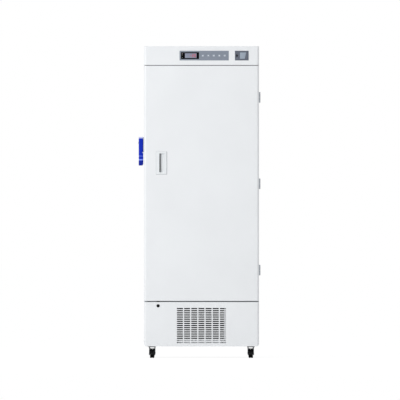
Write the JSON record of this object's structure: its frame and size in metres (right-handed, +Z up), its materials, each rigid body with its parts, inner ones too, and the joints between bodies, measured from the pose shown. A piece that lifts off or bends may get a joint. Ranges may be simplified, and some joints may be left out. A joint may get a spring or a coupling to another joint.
{
  "type": "laboratory freezer",
  "caption": "Upright insulated laboratory freezer with a side latch, recessed pull, control header, slotted lower grille and locking casters.",
  "frame": {"origin": "middle of the footprint on the floor", "axes": "+Z up, +Y from the door to the back, +X to the right seen from the front"},
  "size_m": [0.7582, 0.7486, 1.934],
  "materials": {
    "white_paint": "satin powder coat",
    "back_sheet": "satin",
    "liner_paint": "satin",
    "dark_paint": "satin",
    "black_paint": "gloss",
    "hinge_paint": "satin",
    "foam": "cellular",
    "frame_plastic": "matte",
    "liner_plastic": "gloss",
    "pull_plastic": "matte",
    "panel_plastic": "satin",
    "window_plastic": "gloss",
    "data_plastic": "satin",
    "black_plastic": "matte",
    "key_plastic": "matte",
    "board": "satin",
    "blue_plastic": "gloss",
    "gasket_rubber": "matte",
    "wheel_rubber": "matte",
    "shelf_metal": "satin",
    "rail_metal": "satin",
    "coil_metal": "satin",
    "motor_metal": "matte",
    "bright_metal": "brushed",
    "zinc_metal": "zinc plated",
    "copper": "drawn tube"
  },
  "bodies": {
    "cabinet": {"left_side_panel": "white_paint", "right_side_panel": "white_paint", "top_panel": "white_paint", "back_panel": "back_sheet", "insulation_foam": "foam", "inner_liner": "liner_paint", "breaker_frame": "frame_plastic", "base_chassis": "dark_paint", "lower_front_panel": "white_paint", "header_cover": "white_paint", "control_panel": "panel_plastic", "display_window": "window_plastic", "control_boards": "board", "data_panel": "data_plastic", "data_port": "black_plastic", "compressor": "black_paint", "condenser_coil": "coil_metal", "fan_shroud": "dark_paint", "fan_motor": "motor_metal", "refrigerant_pipes": "copper", "shelf_supports": "rail_metal", "latch_keeper": "bright_metal", "hinge_cabinet_leaves": "hinge_paint", "lock_barrel": "black_plastic", "caster_mounts": "zinc_metal", "power_inlet": "black_plastic", "evaporator_shelf_1": "shelf_metal", "evaporator_shelf_2": "shelf_metal", "evaporator_shelf_3": "shelf_metal", "evaporator_shelf_4": "shelf_metal"},
    "door": {"door_outer_skin": "white_paint", "door_foam": "foam", "door_inner_liner": "liner_plastic", "door_gasket": "gasket_rubber", "door_pull": "pull_plastic", "hinge_door_leaves": "hinge_paint", "latch_base": "bright_metal"},
    "latch_lever": {"latch_lever": "blue_plastic"},
    "lock_plug": {"lock_plug": "bright_metal"},
    "lock_bolt": {"lock_bolt": "zinc_metal"},
    "fan_blade": {"fan_blade": "coil_metal"},
    "panel_key_1": {"panel_key_1": "key_plastic"},
    "panel_key_2": {"panel_key_2": "key_plastic"},
    "panel_key_3": {"panel_key_3": "key_plastic"},
    "panel_key_4": {"panel_key_4": "key_plastic"},
    "panel_key_5": {"panel_key_5": "key_plastic"},
    "caster_fork_1": {"caster_fork_1": "zinc_metal"},
    "caster_wheel_1": {"caster_wheel_1": "wheel_rubber"},
    "caster_fork_2": {"caster_fork_2": "zinc_metal"},
    "caster_wheel_2": {"caster_wheel_2": "wheel_rubber"},
    "caster_fork_3": {"caster_fork_3": "zinc_metal"},
    "caster_wheel_3": {"caster_wheel_3": "wheel_rubber"},
    "caster_fork_4": {"caster_fork_4": "zinc_metal"},
    "caster_wheel_4": {"caster_wheel_4": "wheel_rubber"},
    "brake_pedal_1": {"brake_pedal_1": "black_plastic"},
    "brake_pedal_2": {"brake_pedal_2": "black_plastic"}
  },
  "joints": [
    {"name": "door_hinge", "type": "hinge", "parent": "cabinet", "child": "door", "pos_m": [0.3746, -0.2897, 1.081], "axis": [0, 0, 1], "range_deg": [0, 120]},
    {"name": "latch_pivot", "type": "hinge", "parent": "door", "child": "latch_lever", "pos_m": [-0.35975, -0.3217, 1.335], "axis": [-1, 0, 0], "range_deg": [-12, 60]},
    {"name": "key_turn", "type": "hinge", "parent": "cabinet", "child": "lock_plug", "pos_m": [-0.2556, -0.3717, 0.3243], "axis": [0, -1, 0], "range_deg": [0, 90]},
    {"name": "bolt_slide", "type": "slide", "parent": "cabinet", "child": "lock_bolt", "axis": [0, 0, 1], "range_m": [0, 0.01203]},
    {"name": "fan_spin", "type": "hinge", "parent": "cabinet", "child": "fan_blade", "pos_m": [0.0034, -0.2842, 0.194], "axis": [0, 1, 0], "continuous": true},
    {"name": "key_press_1", "type": "slide", "parent": "cabinet", "child": "panel_key_1", "axis": [0, 1, 0], "range_m": [0, 0.0008], "stiffness_N_per_m": 800},
    {"name": "key_press_2", "type": "slide", "parent": "cabinet", "child": "panel_key_2", "axis": [0, 1, 0], "range_m": [0, 0.0008], "stiffness_N_per_m": 800},
    {"name": "key_press_3", "type": "slide", "parent": "cabinet", "child": "panel_key_3", "axis": [0, 1, 0], "range_m": [0, 0.0008], "stiffness_N_per_m": 800},
    {"name": "key_press_4", "type": "slide", "parent": "cabinet", "child": "panel_key_4", "axis": [0, 1, 0], "range_m": [0, 0.0008], "stiffness_N_per_m": 800},
    {"name": "key_press_5", "type": "slide", "parent": "cabinet", "child": "panel_key_5", "axis": [0, 1, 0], "range_m": [0, 0.0008], "stiffness_N_per_m": 800},
    {"name": "caster_swivel_1", "type": "hinge", "parent": "cabinet", "child": "caster_fork_1", "pos_m": [-0.2931, -0.2517, 0.0725], "axis": [0, 0, 1], "continuous": true},
    {"name": "caster_roll_1", "type": "hinge", "parent": "caster_fork_1", "child": "caster_wheel_1", "pos_m": [-0.2931, -0.2737, 0.025], "axis": [1, 0, 0], "continuous": true},
    {"name": "caster_swivel_2", "type": "hinge", "parent": "cabinet", "child": "caster_fork_2", "pos_m": [0.3199, -0.2517, 0.0725], "axis": [0, 0, 1], "continuous": true},
    {"name": "caster_roll_2", "type": "hinge", "parent": "caster_fork_2", "child": "caster_wheel_2", "pos_m": [0.3199, -0.2737, 0.025], "axis": [1, 0, 0], "continuous": true},
    {"name": "caster_swivel_3", "type": "hinge", "parent": "cabinet", "child": "caster_fork_3", "pos_m": [-0.2931, 0.3023, 0.0725], "axis": [0, 0, 1], "continuous": true},
    {"name": "caster_roll_3", "type": "hinge", "parent": "caster_fork_3", "child": "caster_wheel_3", "pos_m": [-0.2931, 0.2803, 0.025], "axis": [1, 0, 0], "continuous": true},
    {"name": "caster_swivel_4", "type": "hinge", "parent": "cabinet", "child": "caster_fork_4", "pos_m": [0.3199, 0.3023, 0.0725], "axis": [0, 0, 1], "continuous": true},
    {"name": "caster_roll_4", "type": "hinge", "parent": "caster_fork_4", "child": "caster_wheel_4", "pos_m": [0.3199, 0.2803, 0.025], "axis": [1, 0, 0], "continuous": true},
    {"name": "brake_press_1", "type": "hinge", "parent": "caster_fork_1", "child": "brake_pedal_1", "pos_m": [-0.2931, -0.2657, 0.057], "axis": [1, 0, 0], "range_deg": [0, 5]},
    {"name": "brake_press_2", "type": "hinge", "parent": "caster_fork_2", "child": "brake_pedal_2", "pos_m": [0.3199, -0.2657, 0.057], "axis": [1, 0, 0], "range_deg": [0, 5]}
  ],
  "couplings": [
    {"joint": "bolt_slide", "follows": "key_turn", "m_per_rad": 0.0076527}
  ]
}
